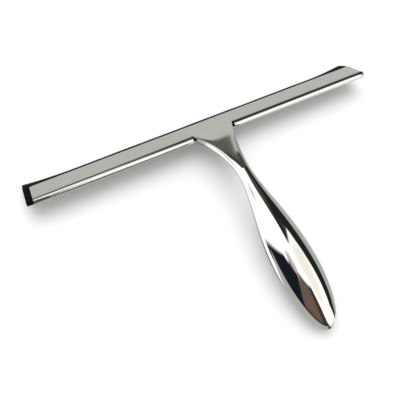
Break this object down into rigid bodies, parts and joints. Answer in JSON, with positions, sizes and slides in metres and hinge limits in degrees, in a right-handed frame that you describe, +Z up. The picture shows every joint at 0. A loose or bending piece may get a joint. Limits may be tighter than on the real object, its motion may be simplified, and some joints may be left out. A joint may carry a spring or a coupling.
{
  "type": "window squeegee",
  "caption": "T-shaped window squeegee: folded metal channel bar with a sliding rubber strip, clamped under the flared head of a teardrop handle.",
  "frame": {"origin": "bottom centre of the whole object's box as it lies on its wiping edge and belly, on the surface it rests on", "axes": "+X along the bar, +Y from the handle towards the wiping edge, +Z up, away from the surface"},
  "size_m": [0.25, 0.1675, 0.0278],
  "materials": {
    "plate_steel": "polished, slightly satin on the plate",
    "polished_shell": "mirror polished",
    "rubber": "matte",
    "cast_core": "as cast, satin",
    "screw_steel": "bright zinc"
  },
  "bodies": {
    "bar_and_handle": {"blade_channel": "plate_steel", "handle_upper_shell": "polished_shell", "handle_lower_shell": "polished_shell", "head_block": "cast_core"},
    "blade": {"rubber_blade": "rubber"},
    "clamp": {"clamp_jaw": "cast_core", "clamp_screws": "screw_steel"}
  },
  "joints": [
    {"name": "blade_slide", "type": "slide", "parent": "bar_and_handle", "child": "blade", "axis": [1, 0, 0], "range_m": [-0.2, 0.2]},
    {"name": "clamp_release", "type": "slide", "parent": "bar_and_handle", "child": "clamp", "axis": [0, -0.4415, -0.8973], "range_m": [0, 0.001]}
  ]
}
